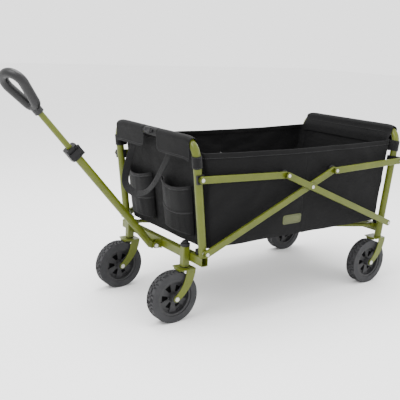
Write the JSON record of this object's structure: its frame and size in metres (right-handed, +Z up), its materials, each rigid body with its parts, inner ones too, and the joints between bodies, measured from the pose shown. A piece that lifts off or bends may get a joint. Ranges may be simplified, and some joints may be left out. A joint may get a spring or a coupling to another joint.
{
  "type": "folding wagon with pull handle",
  "caption": "Folding utility wagon with a fabric tub on a scissor-linked tube frame, swivel front casters, fixed rear wheels and a telescopic pull handle.",
  "frame": {"origin": "on the floor, under the middle of the wagon's overall box with the handle raised", "axes": "+X to the rear of the wagon, +Y to its right side, +Z up"},
  "size_m": [1.5488, 0.6098, 0.8455],
  "materials": {
    "frame_paint": "olive green gloss paint",
    "tub_fabric": "black woven polyester",
    "flap_fabric": "black woven polyester, double layer",
    "pocket_fabric": "black mesh over black woven polyester",
    "webbing": "black woven webbing",
    "black_plastic": "black moulded nylon",
    "grip_plastic": "charcoal soft-touch moulding",
    "tyre_foam": "dark grey solid foam with a fine tread",
    "hub_plastic": "dark grey moulded nylon",
    "rivet_steel": "zinc-plated steel"
  },
  "bodies": {
    "front_frame": {"front_frame_tube": "frame_paint", "front_crossbar": "frame_paint", "head_tubes": "frame_paint", "head_tube_bearings": "black_plastic", "handle_bracket": "frame_paint", "front_post_clips": "black_plastic", "front_post_collars": "flap_fabric", "front_rivets": "rivet_steel", "front_panel": "tub_fabric", "front_flap_left": "flap_fabric", "front_flap_right": "flap_fabric", "flap_buckle": "black_plastic", "front_pockets": "pocket_fabric", "front_strap": "webbing", "side_panel_left": "tub_fabric", "side_panel_right": "tub_fabric"},
    "caster_left": {"fork_front_left": "frame_paint", "axle_front_left": "rivet_steel"},
    "caster_right": {"fork_front_right": "frame_paint", "axle_front_right": "rivet_steel"},
    "wheel_front_left": {"tyre_front_left": "tyre_foam", "hub_front_left": "hub_plastic"},
    "wheel_front_right": {"tyre_front_right": "tyre_foam", "hub_front_right": "hub_plastic"},
    "wheel_rear_left": {"tyre_rear_left": "tyre_foam", "hub_rear_left": "hub_plastic"},
    "wheel_rear_right": {"tyre_rear_right": "tyre_foam", "hub_rear_right": "hub_plastic"},
    "handle_lower": {"handle_lower_tube": "frame_paint", "handle_clamp": "black_plastic"},
    "clamp_lever": {"clamp_lever": "black_plastic"},
    "handle_upper": {"handle_upper_tube": "frame_paint", "handle_grip": "grip_plastic"},
    "long_links_front": {"long_link_front_left": "frame_paint", "long_link_front_right": "frame_paint", "scissor_rivets": "rivet_steel"},
    "long_links_rear": {"long_link_rear_left": "frame_paint", "long_link_rear_right": "frame_paint", "rear_long_link_rivets": "rivet_steel"},
    "upper_links_front": {"upper_link_front_left": "frame_paint", "upper_link_front_right": "frame_paint"},
    "upper_links_rear": {"upper_link_rear_left": "frame_paint", "upper_link_rear_right": "frame_paint", "rear_upper_link_rivets": "rivet_steel"},
    "rear_frame": {"rear_frame_tube": "frame_paint", "rear_crossbar": "frame_paint", "rear_post_clips": "black_plastic", "rear_post_collars": "flap_fabric", "rear_rivets": "rivet_steel", "rear_panel": "tub_fabric", "rear_flap": "flap_fabric", "rear_forks": "frame_paint", "rear_axles": "rivet_steel"},
    "front_arms": {"front_arms": "frame_paint", "floor_front": "tub_fabric"},
    "rear_arms": {"rear_arms": "frame_paint", "floor_rear": "tub_fabric"},
    "floor_hub": {"floor_hub": "black_plastic"}
  },
  "joints": [
    {"name": "fold", "type": "hinge", "parent": "front_frame", "child": "long_links_front", "pos_m": [-0.1942, 0, 0.257], "axis": [0, -1, 0], "range_deg": [0, 54.5], "deforming": ["side_panel_left", "side_panel_right", "front_strap"]},
    {"name": "fold_scissor", "type": "hinge", "parent": "long_links_front", "child": "long_links_rear", "pos_m": [0.2588, 0, 0.449], "axis": [0, -1, 0], "range_deg": [-104.45, 0]},
    {"name": "fold_rear_frame", "type": "hinge", "parent": "long_links_rear", "child": "rear_frame", "pos_m": [0.7118, 0, 0.257], "axis": [0, -1, 0], "range_deg": [0, 54.9]},
    {"name": "fold_upper_front", "type": "hinge", "parent": "front_frame", "child": "upper_links_front", "pos_m": [-0.22551, 0, 0.512], "axis": [0, -1, 0], "range_deg": [0, 76.53]},
    {"name": "fold_upper_rear", "type": "hinge", "parent": "rear_frame", "child": "upper_links_rear", "pos_m": [0.74311, 0, 0.512], "axis": [0, -1, 0], "range_deg": [-76.53, 0]},
    {"name": "fold_front_arms", "type": "hinge", "parent": "front_frame", "child": "front_arms", "pos_m": [-0.1662, 0, 0.238], "axis": [0, -1, 0], "range_deg": [0, 82.88], "deforming": ["floor_front"]},
    {"name": "fold_rear_arms", "type": "hinge", "parent": "rear_frame", "child": "rear_arms", "pos_m": [0.6838, 0, 0.238], "axis": [0, -1, 0], "range_deg": [-82.88, 0], "deforming": ["floor_rear"]},
    {"name": "fold_hub", "type": "hinge", "parent": "front_arms", "child": "floor_hub", "pos_m": [0.2268, 0, 0.238], "axis": [0, -1, 0], "range_deg": [-80.4, 0]},
    {"name": "caster_left_swivel", "type": "hinge", "parent": "front_frame", "child": "caster_left", "pos_m": [-0.2192, -0.192, 0.23], "axis": [0, 0, 1], "continuous": true},
    {"name": "caster_right_swivel", "type": "hinge", "parent": "front_frame", "child": "caster_right", "pos_m": [-0.2192, 0.192, 0.23], "axis": [0, 0, 1], "continuous": true},
    {"name": "wheel_front_left_spin", "type": "hinge", "parent": "caster_left", "child": "wheel_front_left", "pos_m": [-0.2652, -0.192, 0.09], "axis": [0, 1, 0], "continuous": true},
    {"name": "wheel_front_right_spin", "type": "hinge", "parent": "caster_right", "child": "wheel_front_right", "pos_m": [-0.2652, 0.192, 0.09], "axis": [0, 1, 0], "continuous": true},
    {"name": "wheel_rear_left_spin", "type": "hinge", "parent": "rear_frame", "child": "wheel_rear_left", "pos_m": [0.6508, -0.252, 0.09], "axis": [0, 1, 0], "continuous": true},
    {"name": "wheel_rear_right_spin", "type": "hinge", "parent": "rear_frame", "child": "wheel_rear_right", "pos_m": [0.6508, 0.252, 0.09], "axis": [0, 1, 0], "continuous": true},
    {"name": "handle_pitch", "type": "hinge", "parent": "front_frame", "child": "handle_lower", "pos_m": [-0.2292, 0, 0.219], "axis": [0, 1, 0], "range_deg": [-54, 34]},
    {"name": "handle_slide", "type": "slide", "parent": "handle_lower", "child": "handle_upper", "axis": [-0.6481, 0, 0.7615], "range_m": [-0.13, 0.18]},
    {"name": "clamp_lever_turn", "type": "hinge", "parent": "handle_lower", "child": "clamp_lever", "pos_m": [-0.52709, -0.022, 0.58988], "axis": [-0.6481, 0, 0.7615], "range_deg": [0, 95]}
  ],
  "couplings": [
    {"joint": "fold_scissor", "follows": "fold", "ratio": -1.9092},
    {"joint": "fold_rear_frame", "follows": "fold", "ratio": 1},
    {"joint": "fold_upper_front", "follows": "fold", "ratio": 1.3969},
    {"joint": "fold_upper_rear", "follows": "fold", "ratio": -1.3969},
    {"joint": "fold_front_arms", "follows": "fold", "ratio": 1.5133},
    {"joint": "fold_rear_arms", "follows": "fold", "ratio": -1.5133},
    {"joint": "fold_hub", "follows": "fold", "ratio": -1.4679}
  ]
}
